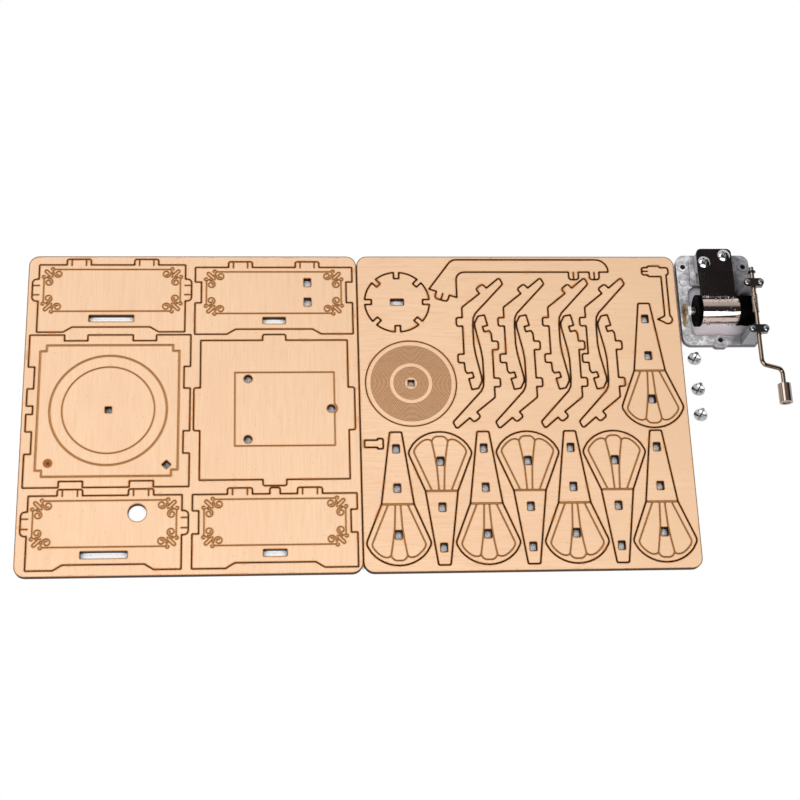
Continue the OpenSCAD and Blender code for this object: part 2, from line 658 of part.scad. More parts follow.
// Eight ribs lie in four pairs, the second of each pair turned half round
module at_rib(i) {
    pair_x = sheet_w * rib_place_share + rib_span * rib_pair_share[floor(i / 2)];
    turned = i % 2 == 1;
    translate([pair_x, rib_row])
        translate(turned ? 2 * [rib_w * rib_turn_share[0], rib_l * rib_turn_share[1]] : [0, 0])
            rotate([0, 0, turned ? 180 : 0]) children();
}
module horn_rib(i) color(wood) on_right() at_rib(i) ply() polygon(rib_points);

// Right sheet
module sheet_frame_right()
    color(frame_wood) on_right() difference() {
        ply() polygon(sheet_points());
        at_hub() window(hub_points);
        at_record() cut_through() circle(r = record_r + kerf, $fn = 128);
        at_arm() window(arm_points);
        at_tone() window(tone_points);
        at_peg() window(pin_points);
        for (i = [0:7]) {
            at_petal(i) window(petal_points);
            at_rib(i) window(rib_points);
        }
    }

// Movement, in its own coordinates from the bedplate's front left corner
mech_gap = 1.15;
mech_overhang = 0.6;
mech_x = right_x + sheet_w + mech_gap;
mech_y = sheet_h + mech_overhang - bed_l;
hole_front = 2.6;
hole_span = bed_w - 2 * hole_side;
hole_reach = bed_l - hole_rear - hole_front;
drum_x = 8;
wheel_flange_t = 3.15;
wall_gap = 0.35;
wall_t = 1.4;
wall_margin = 0.8;
drum_l = bed_w - drum_x - wheel_flange_t - wheel_rim_w - wall_gap - wall_t - wall_margin;
crank_x = drum_x + drum_l + crank_offset;
layout_w = mech_x + crank_x + crank_throw * cos(crank_hang) + knob_r;
layout_d = max(sheet_h, mech_y + bed_l);
module on_table() translate([mech_x - layout_w / 2, mech_y - layout_d / 2, 0]) children();
bed_hole_r = 1.3;
bed_corner_r = 4.2;
bed_front_corner_r = 1;
lobe_w = 7.4;
lobe_nose_w = 4.5;
lobe_nose = 1.2;
lobe_corner_r = 1.5;
boss_r = 2.5;
boss_t = 0.4;
floor_t = 1;
running_gap = 0.05;
comb_t = 1.2;
tine_t = 0.7;
comb_x = 8.8;
comb_w = drum_l - 1.2;
comb_z = 9.8;
comb_r = 2.4;
comb_seat_share = 0.435;
tine_share = 0.514;
tine_slit = 0.22;
pin_h = 0.8;
pin_r = 0.25;
tip_gap = 0.2;
drum_y = 15.7;
drum_wall = 0.8;
arbor_r = 1;
cap_t = 2.3;
cap_r = 7.8;
spigot_l = 3;
lug_w = 5.4;
lug_t = 1.5;
bush_r = 2;
bush_rim_r = 2.4;
bush_rim_t = 0.4;
bush_gap = 0.3;
lug_x = 1.6;
bracket_w = 10.8;
bracket_t = 0.9;
bracket_round_z = 6.3;
bracket_drop = 0.75;
// Raised forms of the casting beside the comb: a rail, a post and a low stud
rail_w = 2.4;
rail_t = 0.9;
rail_share = [0.655, 0.93];
rail_post_r = 1.5;
rail_post_t = 1.6;
stud_at_share = [0.075, 0.69];
stud_r = 1.7;
stud_t = 0.5;

tooth_h = 0.44;
worm_starts = 3;
worm_gap = 0.1;
worm_wall = 0.15;
worm_thread_h = 0.4;
worm_root_r = wire_r + worm_wall;
worm_crest_r = worm_root_r + worm_thread_h;
wheel_r = crank_z - drum_z - worm_crest_r - worm_gap - tooth_h;
worm_pitch = 2 * PI * (wheel_r + tooth_h / 2) / wheel_teeth;
wheel_x = drum_x + drum_l;
wheel_end = wheel_x + wheel_flange_t + wheel_rim_w;
tooth_root_share = 0.3;
tooth_tip_share = 0.16;
worm_l = 9.6;

clip_w = 9.8;
clip_d = 4;
clip_t = 1;
clip_z = crank_z + wire_r + running_gap;
clip_rear_y = 26.2;
clip_front_y = 1.8;
post_share = 0.9;
stem_reach = 2;
post_head_t = 2.4;
rivet_r = 1.35;
rivet_pin_r = 0.6;
rivet_h = 0.7;
rivet_l = 1.8;
rivet_offset = 3.3;
shaft_rear = 34.8;
ring_y = 32.6;
ring_t = 0.6;
ring_r = 1.9;
arm_y = -16.1;
crank_bend_r = 2.6;
knob_y = -24;
rivet_head_r = 1.8;
rivet_head_t = 0.5;
knob_sink = 0.8;
knob_head_y = knob_y - knob_l + knob_sink;

pan_dome_share = 1.45;
comb_screw_r = 1.25;
comb_screw_head_r = 3.1;
comb_screw_head_h = 1.7;
cross_turn = 20;
cross_l = 3.7;
cross_w = 0.8;
cross_depth = 1;
comb_screw_share = [[0.195, 0.291], [0.775, 0.149]];

module rounded_slab(w, d, r, h)
    linear_extrude(height = h) polygon(outline([[0, 0, r], [w, 0, r], [w, d, r], [0, d, r]]));
function lobe_corner(side, w, out, r) = [bed_w / 2 + side * w / 2, -out, r];
module bed_outline()
    polygon(outline([[0, 0, bed_corner_r], lobe_corner(-1, lobe_w, 0, 0),
                     lobe_corner(-1, lobe_nose_w, lobe_nose, lobe_corner_r),
                     lobe_corner(1, lobe_nose_w, lobe_nose, lobe_corner_r), lobe_corner(1, lobe_w, 0, 0),
                     [bed_w, 0, bed_front_corner_r], [bed_w, bed_l, bed_corner_r],
                     [0, bed_l, bed_corner_r]]));
bed_holes = [[(bed_w - hole_span) / 2, hole_front + hole_reach],
             [(bed_w + hole_span) / 2, hole_front + hole_reach],
             [bed_w / 2, hole_front]];
// Pocket under the drum, as shares of the bedplate, with its corner radii
pocket_share = [[0.148, 0.1], [0.78, 0.1], [0.955, 0.21], [0.955, 0.5], [0.72, 0.52], [0.7, 0.6],
                [0.235, 0.665], [0.12, 0.6], [0.12, 0.16]];
pocket_r = [2.2, 3, 1, 1, 1, 1, 3, 3.5, 2];
pocket_corners = [for (i = [0:len(pocket_r) - 1])
    [pocket_share[i][0] * bed_w, pocket_share[i][1] * bed_l, pocket_r[i]]];
module shaft_channel(y)
    translate([crank_x, y, crank_z]) {
        rotate([90, 0, 0]) cylinder(r = wire_r + running_gap, h = clip_d * 2, center = true);
        translate([-wire_r - running_gap, -clip_d, 0]) cube([2 * (wire_r + running_gap), 2 * clip_d, clip_d]);
    }
module shaft_post(y)
    difference() {
        union() {
            translate([crank_x - clip_w * post_share / 2, y - clip_d * post_share / 2, 0])
                cube([clip_w * post_share / 2 + stem_reach, clip_d * post_share, clip_z]);
            translate([crank_x - clip_w * post_share / 2, y - clip_d * post_share / 2, clip_z - post_head_t])
                cube([clip_w * post_share, clip_d * post_share, post_head_t]);
        }
        shaft_channel(y);
        for (side = [-1, 1])
            translate([crank_x + side * rivet_offset, y, clip_z - rivet_l - running_gap])
                cylinder(r = rivet_pin_r + running_gap, h = clip_d + overrun);
    }
module arbor_bore(x, l, r)
    translate([x - overrun, drum_y, drum_z]) rotate([0, 90, 0])
        cylinder(r = r + running_gap, h = l + 2 * overrun);
module bearing_lug(x, l, w, r)
    difference() {
        union() {
            translate([x, drum_y - w / 2, floor_t - overrun]) cube([l, w, drum_z - floor_t + overrun]);
            translate([x, drum_y, drum_z]) rotate([0, 90, 0]) cylinder(r = w / 2, h = l);
        }
        arbor_bore(x, l, r);
    }
tip_y = drum_y + drum_r + pin_h + tip_gap;
comb_l = bed_l - tip_y;
comb_screws_at = [for (p = comb_screw_share) [comb_x + p[0] * comb_w, bed_l - p[1] * comb_l]];
wall_x = wheel_end + wall_gap;
module bedplate()
    color(zinc) on_table() difference() {
        union() {
            difference() {
                linear_extrude(height = bed_t) bed_outline();
                translate([0, 0, floor_t]) linear_extrude(height = bed_t)
                    polygon(outline(pocket_corners));
            }
            // Seat of the comb
            translate([comb_x + fit_gap, bed_l - comb_l * comb_seat_share, 0])
                rounded_slab(comb_w - 2 * fit_gap, comb_l * comb_seat_share, comb_r, comb_z);
            for (p = bed_holes)
                translate([p[0], p[1], 0]) cylinder(r = boss_r, h = bed_t + boss_t);
            // Rail and post beside the comb, and the stud near the left edge
            translate([comb_x - rail_w, bed_l * rail_share[0], 0])
                cube([rail_w + overrun, bed_l * (rail_share[1] - rail_share[0]), bed_t + rail_t]);
            translate([comb_x - rail_post_r, bed_l * rail_share[0] + rail_post_r, 0])
                cylinder(r = rail_post_r, h = bed_t + rail_post_t);
            translate([bed_w * stud_at_share[0], bed_l * stud_at_share[1], 0])
                cylinder(r = stud_r, h = bed_t + stud_t);
            bearing_lug(lug_x, lug_t, lug_w, bush_r);
            bearing_lug(wall_x, wall_t, lug_w, arbor_r);
            shaft_post(clip_rear_y);
            shaft_post(clip_front_y);
        }
        for (p = bed_holes)
            translate([p[0], p[1], -overrun])
                cylinder(r = bed_hole_r, h = bed_t + boss_t + 2 * overrun);
        for (p = comb_screws_at)
            translate([p[0], p[1], bed_t]) cylinder(r = comb_screw_r + running_gap, h = comb_z);
    }

module bearing_cap_plate()
    color(brass_tan) on_table() difference() {
        translate([lug_x - bracket_t, drum_y - bracket_drop, 0]) {
            translate([0, 0, bracket_round_z]) rotate([0, 90, 0])
                difference() {
                    cylinder(r = bracket_w / 2, h = bracket_t);
                    translate([0, -bracket_w, -overrun])
                        cube([bracket_w, 2 * bracket_w, bracket_t + 2 * overrun]);
                }
            translate([0, -bracket_w / 2, bed_t]) cube([bracket_t, bracket_w, bracket_round_z - bed_t]);
        }
        arbor_bore(lug_x - bracket_t, bracket_t, bush_r);
    }
// Steel bush of the drum's left bearing, with a rim outside the cap plate
module bearing_bush()
    color(nickel) on_table() translate([lug_x - bracket_t, drum_y, drum_z]) rotate([0, 90, 0]) difference() {
        union() {
            cylinder(r = bush_r, h = drum_x - cap_t - bush_gap - lug_x + bracket_t);
            translate([0, 0, -bush_rim_t]) cylinder(r = bush_rim_r, h = bush_rim_t);
        }
        translate([0, 0, -bush_rim_t - overrun]) cylinder(r = arbor_r + running_gap, h = drum_x);
    }

tine_l = comb_l * tine_share;
module comb()
    color(black_steel) on_table() difference() {
        translate([comb_x, tip_y, comb_z])
            linear_extrude(height = comb_t)
                polygon(outline([[0, 0, 0], [comb_w, 0, 0], [comb_w, comb_l, comb_r], [0, comb_l, comb_r]]));
        // The tines are thinner than the comb's heel
        translate([comb_x - overrun, tip_y - overrun, comb_z - overrun])
            cube([comb_w + 2 * overrun, tine_l + overrun, comb_t - tine_t + overrun]);
        for (i = [1:tine_count - 1])
            translate([comb_x + comb_w * i / tine_count - tine_slit / 2, tip_y - overrun, comb_z - overrun])
                cube([tine_slit, tine_l + overrun, comb_t + 2 * overrun]);
        for (p = comb_screws_at)
            translate([p[0], p[1], comb_z - overrun])
                cylinder(r = comb_screw_r + 2 * running_gap, h = comb_t + 2 * overrun);
    }

// Pan head with a flat underside at height 0, on top of its shank
module pan_head(r, h, dome_share = pan_dome_share)
    rotate_extrude() intersection() {
        square([r, h]);
        translate([0, h - r * dome_share]) circle(r = r * dome_share);
    }
module comb_screws()
    color(nickel) on_table() for (p = comb_screws_at)
        translate([p[0], p[1], comb_z + comb_t]) difference() {
            union() {
                pan_head(comb_screw_head_r, comb_screw_head_h);
                translate([0, 0, bed_t - comb_z]) cylinder(r = comb_screw_r, h = comb_z - bed_t);
            }
            for (turn = [0, 90])
                rotate([0, 0, cross_turn + turn])
                    translate([-cross_l / 2, -cross_w / 2, comb_screw_head_h - cross_depth])
                        cube([cross_l, cross_w, comb_screw_head_h]);
        }

// Drum with its pins, in rows that follow a simple rule so that every tine has its own tune
pins_per_track = 4;
function pin_angle(track, i) = i * 360 / pins_per_track + (track * track * 23 + track * 41 + i * i * 17) % 80;
module drum()
    color(nickel) on_table() translate([drum_x, drum_y, drum_z]) rotate([0, 90, 0]) difference() {
        union() {
            cylinder(r = drum_r, h = drum_l);
            for (track = [0:tine_count - 1], i = [0:pins_per_track - 1])
                translate([0, 0, comb_x - drum_x + comb_w * (track + 0.5) / tine_count])
                    rotate([0, 90, pin_angle(track, i)])
                        cylinder(r = pin_r, h = drum_r + pin_h, $fn = 16);
        }
        translate([0, 0, -overrun]) cylinder(r = drum_r - drum_wall, h = drum_l + 2 * overrun);
    }
module drum_end_cap()
    color(black_steel) on_table() translate([drum_x, drum_y, drum_z]) rotate([0, 90, 0]) difference() {
        union() {
            translate([0, 0, -cap_t]) cylinder(r = cap_r, h = cap_t);
            cylinder(r = drum_r - drum_wall - running_gap, h = spigot_l);
        }
        translate([0, 0, -cap_t - overrun]) cylinder(r = arbor_r, h = cap_t + spigot_l + 2 * overrun);
    }
module worm_wheel()
    color(black_steel) on_table() translate([wheel_x, drum_y, drum_z]) rotate([0, 90, 0]) difference() {
        union() {
            translate([0, 0, -spigot_l]) cylinder(r = drum_r - drum_wall - running_gap, h = spigot_l);
            cylinder(r = drum_r + pin_h, h = wheel_flange_t);
            translate([0, 0, wheel_flange_t]) linear_extrude(height = wheel_rim_w) wheel_outline();
        }
        translate([0, 0, -spigot_l - overrun])
            cylinder(r = arbor_r, h = spigot_l + wheel_flange_t + wheel_rim_w + 2 * overrun);
    }
tooth_points = [[wheel_r, -tooth_root_share], [wheel_r + tooth_h, -tooth_tip_share],
                [wheel_r + tooth_h, tooth_tip_share], [wheel_r, tooth_root_share]];
module wheel_outline()
    polygon([for (i = [0:wheel_teeth - 1], p = tooth_points)
        let (turn = (i + p[1]) * 360 / wheel_teeth) p[0] * [cos(turn), sin(turn)]]);
module drum_arbor()
    color(nickel) on_table() translate([lug_x + running_gap, drum_y, drum_z]) rotate([0, 90, 0])
        cylinder(r = arbor_r, h = wall_x + wall_t - lug_x - running_gap);

module stadium(w, d, h) {
    linear_extrude(height = h) square([w - d, d], center = true);
    for (side = [-1, 1]) translate([side * (w - d) / 2, 0, 0]) cylinder(r = d / 2, h = h);
}
module shaft_clip(y)
    color(black_steel) on_table() translate([crank_x, y, clip_z]) difference() {
        stadium(clip_w, clip_d, clip_t);
        for (side = [-1, 1])
            translate([side * rivet_offset, 0, -overrun])
                cylinder(r = rivet_pin_r + running_gap, h = clip_t + 2 * overrun);
    }
module shaft_clip_rear() shaft_clip(clip_rear_y);
module shaft_clip_front() shaft_clip(clip_front_y);
module clip_rivets()
    color(nickel) on_table() for (y = [clip_front_y, clip_rear_y], side = [-1, 1])
        translate([crank_x + side * rivet_offset, y, clip_z + clip_t]) {
            pan_head(rivet_r, rivet_h);
            translate([0, 0, -clip_t - rivet_l]) cylinder(r = rivet_pin_r, h = clip_t + rivet_l);
        }

// Crank, drawn in the plane of its bends, with the shaft along Y and the throw along X
module at_crank() on_table() translate([crank_x, 0, crank_z]) rotate([0, crank_hang, 0]) children();
module wire(l) rotate([90, 0, 0]) cylinder(r = wire_r, h = l);
module wire_bend(turn)
    rotate([0, 0, turn]) rotate_extrude(angle = 90) translate([crank_bend_r, 0]) circle(r = wire_r, $fn = 32);
module crank_shaft()
    color(nickel) at_crank() {
        translate([0, shaft_rear, 0]) wire(shaft_rear - arm_y - crank_bend_r);
        translate([crank_bend_r, arm_y + crank_bend_r, 0]) wire_bend(180);
        translate([crank_bend_r, arm_y, 0]) rotate([0, 90, 0])
            cylinder(r = wire_r, h = crank_throw - 2 * crank_bend_r);
        translate([crank_throw - crank_bend_r, arm_y - crank_bend_r, 0]) wire_bend(0);
        translate([crank_throw, arm_y - crank_bend_r, 0]) wire(arm_y - crank_bend_r - knob_head_y);
        translate([crank_throw, knob_head_y, 0]) rotate([90, 0, 0])
            cylinder(r = rivet_head_r, h = rivet_head_t);
    }
// Three-start worm on the shaft, over the middle of the drum's axis
points_per_start = 6;
slices_per_pitch = 4;
worm_points = [for (i = [0:points_per_start * worm_starts - 1])
    let (a = 360 / points_per_start * i, r = worm_root_r + worm_thread_h * (1 + cos(a)) / 2)
    r * [cos(a / worm_starts), sin(a / worm_starts)]];
module crank_worm()
    color(nickel) at_crank() translate([0, drum_y + worm_l / 2, 0]) rotate([90, 0, 0]) difference() {
        linear_extrude(height = worm_l, twist = -360 * worm_l / (worm_starts * worm_pitch),
                       slices = ceil(worm_l / worm_pitch * slices_per_pitch), segments = len(worm_points))
            polygon(worm_points);
        translate([0, 0, -overrun]) cylinder(r = wire_r, h = worm_l + 2 * overrun);
    }
module retaining_ring()
    color(black_steel) at_crank() translate([0, ring_y, 0]) rotate([90, 0, 0]) difference() {
        cylinder(r = ring_r, h = ring_t);
        translate([0, 0, -overrun]) cylinder(r = wire_r, h = ring_t + 2 * overrun);
    }
module crank_knob()
    color(nickel) at_crank() translate([crank_throw, knob_y, 0]) rotate([90, 0, 0]) difference() {
        cylinder(r = knob_r, h = knob_l);
        translate([0, 0, -overrun]) cylinder(r = wire_r + running_gap, h = knob_l + 2 * overrun);
        translate([0, 0, knob_l - knob_sink - running_gap])
            cylinder(r = rivet_head_r + 2 * running_gap, h = knob_l);
    }

// Three screws for fixing the movement to the base plate, each lying on its head and its tip
screw_head_h = 1.6;
screw_dome_share = 2.2;
screw_slot_w = 0.7;
screw_slot_depth = 0.8;
screw_lean = atan((screw_head_r - screw_r) / screw_l);
screw_turn = 61;
screws_at_share = [[0.128, -0.143], [0.137, -0.473], [0.134, -0.745]];
module slotted_screw()
    difference() {
        union() {
            pan_head(screw_head_r, screw_head_h, screw_dome_share);
            translate([0, 0, -screw_l]) cylinder(r = screw_r, h = screw_l);
        }
        translate([-screw_head_r, -screw_slot_w / 2, screw_head_h - screw_slot_depth])
            cube([2 * screw_head_r, screw_slot_w, screw_head_h]);
    }
module mounting_screws()
    color(zinc) on_table() for (p = screws_at_share)
        translate([p[0] * bed_w, p[1] * bed_l, screw_head_r * cos(screw_lean)])
            rotate([0, 0, screw_turn]) rotate([0, screw_lean - 90, 0]) slotted_screw();

sheet_frame_left();
sheet_frame_right();
plain_side_panel();
rear_panel();
top_plate();
base_plate();
crank_side_panel();
front_panel();
horn_hub();
record_disc();
horn_arm();
tone_arm();
record_peg();
horn_rib(0);  // rib_1
horn_rib(1);  // rib_2
horn_rib(2);  // rib_3
horn_rib(3);  // rib_4
horn_rib(4);  // rib_5
horn_rib(5);  // rib_6
horn_rib(6);  // rib_7
horn_rib(7);  // rib_8
horn_petal(0);  // petal_1
horn_petal(1);  // petal_2
horn_petal(2);  // petal_3
horn_petal(3);  // petal_4
horn_petal(4);  // petal_5
horn_petal(5);  // petal_6
horn_petal(6);  // petal_7
horn_petal(7);  // petal_8
bedplate();
bearing_cap_plate();
bearing_bush();
comb();
comb_screws();
drum();
drum_end_cap();
worm_wheel();
drum_arbor();
shaft_clip_rear();
shaft_clip_front();
clip_rivets();
crank_shaft();
crank_worm();
retaining_ring();
crank_knob();
mounting_screws();
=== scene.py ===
"""Looks of the flat-packed music box kit: plywood, burnt cuts, and the metals of its movement."""
import json
import math
import bpy
from mathutils import Matrix, Vector


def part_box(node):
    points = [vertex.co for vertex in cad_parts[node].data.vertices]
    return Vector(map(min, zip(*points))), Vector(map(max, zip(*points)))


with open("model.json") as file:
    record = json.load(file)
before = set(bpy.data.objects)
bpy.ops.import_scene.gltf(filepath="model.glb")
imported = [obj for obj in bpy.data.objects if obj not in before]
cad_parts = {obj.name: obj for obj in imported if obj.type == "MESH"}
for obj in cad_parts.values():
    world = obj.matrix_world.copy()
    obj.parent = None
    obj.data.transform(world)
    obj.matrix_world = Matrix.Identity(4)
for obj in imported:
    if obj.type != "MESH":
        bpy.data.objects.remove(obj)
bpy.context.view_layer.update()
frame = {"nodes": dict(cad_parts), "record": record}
nodes = frame["nodes"]

MM = 0.001
PLY_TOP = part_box("sheet_frame_left")[1].z
X, Z = 0, 2
# Sockets of Blender's Mix node that hold colours: its two inputs and its output
COLOUR_A, COLOUR_B, COLOUR_OUT = 6, 7, 2

# Room: a floor and a round curtain, which is high behind and on the left and low elsewhere
ROOM_R = 3.0
FLOOR_ALBEDO = 0.9
CURTAIN_ALBEDO = 0.05
CURTAIN_SIDES = 48
CURTAIN_LOW = 0.3
CURTAIN_RISE = 0.9
CURTAIN_MEAN = 0.9
CURTAIN_SWING = 1.2
CURTAIN_HIGH_AT = math.radians(135)

# The table at the bottom of holes: painted shade in small ones, and near-black painted shade
# under the laser's narrow cuts
HOLE_REACH = 6 * MM
HOLE_SHADE = (0.12, 0.1, 0.12, 1)
HOLE_DEEP_SHADE = (0.008, 0.004, 0.002, 1)

# Two soft lamps, both high up: the key in front, and a weak fill at the rear left
KEY_SIZE = (1.6, 1.1)
KEY_AT = (-0.16, -0.95, 0.95)
KEY_POWER = 20.5
FILL_SIZE = (0.9, 0.6)
FILL_AT = (-0.62, 0.42, 1.03)
FILL_POWER = 5

# Light from all round, as (direction, brightness) with directions from -1 to 1: dark beyond the
# long edges of the front lamp, paler behind, and darker on the right
ROOM_LEVEL = 1.1
ROOM_DEPTH = [(-1.0, 0.1), (-0.9, 0.05), (-0.3, 0.03), (0.22, 0.05), (0.45, 0.6), (1.0, 0.8)]
ROOM_SIDE = [(-1.0, 1.0), (0.35, 0.9), (0.75, 0.12), (1.0, 0.06)]
ROOM_BLUE = 1.01

# Camera fitted to the photograph: focal length in pixels, place in mm, and three turns in degrees
PHOTO_PX = 800
SENSOR_MM = 36
CAMERA_FOCAL_PX = 1605.2
CAMERA_AT = Vector((-63.4, -261.8, 720.0)) * MM
CAMERA_TILT = math.radians(20.348)
CAMERA_PAN = math.radians(4.347)
CAMERA_ROLL = math.radians(-1.953)
CAMERA_CLIP = (0.01, 20)


def linear(red, green, blue):
    """An sRGB colour written 0 to 255, as the linear colour that a shader takes."""
    parts = []
    for value in (red, green, blue):
        v = value / 255
        parts.append(v / 12.92 if v <= 0.04045 else ((v + 0.055) / 1.055) ** 2.4)
    return (*parts, 1.0)


class Shader:
    """One material's node tree, with short names for the nodes that the materials here use."""

    def __init__(self, name):
        self.material = bpy.data.materials.new(name)
        self.material.use_nodes = True
        self.tree = self.material.node_tree
        self.surface = self.tree.nodes["Principled BSDF"]
        self.place = self.node("ShaderNodeTexCoord").outputs["Object"]

    def node(self, kind, **settings):
        made = self.tree.nodes.new(kind)
        for key, value in settings.items():
            setattr(made, key, value)
        return made

    def put(self, value, socket):
        """Set a socket to a number or colour, or link it to another node's output."""
        if isinstance(value, bpy.types.NodeSocket):
            self.tree.links.new(value, socket)
        else:
            socket.default_value = value

    def set(self, **values):
        """Fill the surface shader's inputs, whose names are written with _ for a space."""
        for key, value in values.items():
            self.put(value, self.surface.inputs[key.replace("_", " ")])

    def math(self, operation, first, second=0.0):
        made = self.node("ShaderNodeMath", operation=operation)
        self.put(first, made.inputs[0])
        self.put(second, made.inputs[1])
        return made.outputs[0]

    def times(self, first, second):
        return self.math("MULTIPLY", first, second)

    def mix(self, share, first, second, blend="MIX"):
        made = self.node("ShaderNodeMix", data_type="RGBA", blend_type=blend)
        self.put(share, made.inputs[0])
        self.put(first, made.inputs[COLOUR_A])
        self.put(second, made.inputs[COLOUR_B])
        return made.outputs[COLOUR_OUT]

    def shades(self, share, first, second):
        """A mix of two colours written 0 to 255."""
        return self.mix(share, linear(*first), linear(*second))

    def scaled(self, per_metre, shift=(0, 0, 0)):
        """The place, times one number or one for each axis, and shifted."""
        made = self.node("ShaderNodeMapping")
        self.put(self.place, made.inputs["Vector"])
        every_axis = (per_metre,) * 3 if isinstance(per_metre, int) else per_metre
        made.inputs["Scale"].default_value = every_axis
        made.inputs["Location"].default_value = shift
        return made.outputs["Vector"]

    def noise(self, per_metre, shift=(0, 0, 0), detail=4.0, roughness=0.55, distortion=0.0):
        """Noise with so many spots to the metre."""
        place = self.scaled(per_metre, shift)
        made = self.node("ShaderNodeTexNoise")
        self.put(place, made.inputs["Vector"])
        made.inputs["Scale"].default_value = 1.0
        made.inputs["Detail"].default_value = detail
        made.inputs["Roughness"].default_value = roughness
        made.inputs["Distortion"].default_value = distortion
        return made.outputs["Fac"]

    def span(self, value, low, high, to_low=0.0, to_high=1.0):
        """value between low and high, brought to between to_low and to_high."""
        made = self.node("ShaderNodeMapRange", clamp=True)
        self.put(value, made.inputs["Value"])
        made.inputs["From Min"].default_value = low
        made.inputs["From Max"].default_value = high
        made.inputs["To Min"].default_value = to_low
        made.inputs["To Max"].default_value = to_high
        return made.outputs["Result"]

    def openness(self, radius, samples, **settings):
        """1 where nothing stands within radius, and less where more does."""
        made = self.node("ShaderNodeAmbientOcclusion", samples=samples, **settings)
        made.inputs["Distance"].default_value = radius
        return made.outputs["AO"]

    def solid_near(self, radius):
        """1 where the wood is whole within radius, falling to a half at the lip of a cut."""
        return self.openness(radius, samples=12, inside=True, only_local=True)

    def hollow(self, radius):
        """0 on open faces, rising to 1 deep in slots and corners within radius."""
        return self.span(self.openness(radius, samples=8, only_local=True), 0.85, 0.45)

    def true_normal(self):
        return self.node("ShaderNodeNewGeometry").outputs["True Normal"]

    def flatness(self):
        """1 on level faces, 0 on upright ones."""
        return self.math("ABSOLUTE", self.part(self.true_normal(), Z))

    def part(self, vector, axis):
        made = self.node("ShaderNodeSeparateXYZ")
        self.put(vector, made.inputs[0])
        return made.outputs[axis]

    def bump(self, height, distance, strength):
        made = self.node("ShaderNodeBump")
        made.inputs["Distance"].default_value = distance
        made.inputs["Strength"].default_value = strength
        self.put(height, made.inputs["Height"])
        self.put(made.outputs["Normal"], self.surface.inputs["Normal"])

    def edge(self, radius):
        """0 on flat faces, rising to 1 at a sharp edge, from the normals within radius."""
        rounded = self.node("ShaderNodeBevel", samples=6)
        rounded.inputs["Radius"].default_value = radius
        dot = self.node("ShaderNodeVectorMath", operation="DOT_PRODUCT")
        self.put(rounded.outputs["Normal"], dot.inputs[0])
        self.put(self.true_normal(), dot.inputs[1])
        return self.span(dot.outputs["Value"], 1.0, 0.75)


# Veneer of each sheet: two tones of the broad streaks, then the clouds', the fine lines' and the
# pores' tone, and the place where its figure starts
LEFT_TONE = [(251, 212, 175), (254, 216, 179), (247, 206, 169), (239, 196, 156), (214, 165, 120)]
RIGHT_TONE = [(253, 214, 177), (255, 219, 182), (248, 207, 170), (236, 190, 149), (208, 158, 114)]
LEFT_FIGURE_AT = (0, 0, 0)
RIGHT_FIGURE_AT = (3.1, 5.7, 0)
# Painted shade: the right sheet darkens between these two places, as the light falls off to the
# right
SHADE_FROM_TO = (20 * MM, 140 * MM)
SHADE_TONE = (243, 202, 163)

# Spots to the metre along and across the grain
FIBRE = (90, 2600)
STREAK = (12, 240)
CLOUD = (14, 26)
STROKE = (50, 700)
PORE = (420, 3200)

KNOT_CELLS_PER_METRE = 38
KNOT_TONE = (118, 72, 40)
KNOT_STRENGTH = 0.8


def veneer(s, tone, figure_at, grain_along_y, shade_at):
    """Colour and relief of birch veneer."""
    streak_low, streak_high, clouded, lined, pored = (linear(*shade) for shade in tone)

    def figure(along_across, **settings):
        along, across = along_across
        scale = (across, along, across) if grain_along_y else (along, across, across)
        return s.noise(scale, figure_at, **settings)

    fibre = figure(FIBRE, detail=5, roughness=0.6)
    streak = figure(STREAK, detail=4, distortion=0.5)
    cloud = figure(CLOUD, detail=3)
    stroke = figure(STROKE, detail=3, roughness=0.65)
    pore = figure(PORE, detail=2)
    base = s.mix(s.span(streak, 0.3, 0.7), streak_low, streak_high)
    base = s.mix(s.span(cloud, 0.35, 0.7, 0, 0.95), base, clouded)
    base = s.mix(s.span(stroke, 0.48, 0.68, 0, 0.55), base, lined)
    base = s.mix(s.span(fibre, 0.35, 0.7, 0, 0.6), base, lined)
    base = s.mix(s.span(pore, 0.66, 0.74, 0, 0.35), base, pored)
    # Painted shade where the light falls off across the right sheet
    if shade_at:
        shade = s.times(s.span(s.part(s.place, X), *shade_at), s.span(cloud, 0.3, 0.6, 0.4, 1))
        base = s.mix(shade, base, linear(*SHADE_TONE))
    return base, s.math("ADD", fibre, s.times(pore, 0.4))


def knotted(s, base, figure_at):
    """Pin knots in one cell out of eight."""
    cell = s.node("ShaderNodeTexVoronoi", voronoi_dimensions="2D")
    s.put(s.scaled(KNOT_CELLS_PER_METRE, figure_at), cell.inputs["Vector"])
    chosen = s.span(s.part(cell.outputs["Color"], X), 0.86, 0.88)
    knot = s.times(s.span(cell.outputs["Distance"], 0.04, 0.015), chosen)
    return s.mix(s.times(knot, KNOT_STRENGTH), base, linear(*KNOT_TONE))


LIP_REACH = 0.7 * MM
HALO_TONE = (196, 122, 40)
SCORCH_TONE = (28, 9, 1)
SMOKE_REACH = 1.5 * MM
SMOKE_PER_METRE = 170
SMOKE_TONE = (192, 116, 52)
SMOKE_STRENGTH = 0.5


def scorched(s, base, figure_at, scorch, halo):
    """A golden halo beside each line, dark lips on the cuts, and smoke smudges here and there."""
    solid = s.solid_near(LIP_REACH)
    base = s.mix(s.span(solid, 0.99, 0.76, 0, halo), base, linear(*HALO_TONE))
    base = s.mix(s.span(solid, 0.81, 0.63, 0, scorch), base, linear(*SCORCH_TONE))
    smoke = s.noise(SMOKE_PER_METRE, figure_at, detail=2)
    smudge = s.times(s.span(s.solid_near(SMOKE_REACH), 0.93, 0.68), s.span(smoke, 0.57, 0.66))
    return s.mix(s.times(smudge, SMOKE_STRENGTH * scorch), base, linear(*SMOKE_TONE))


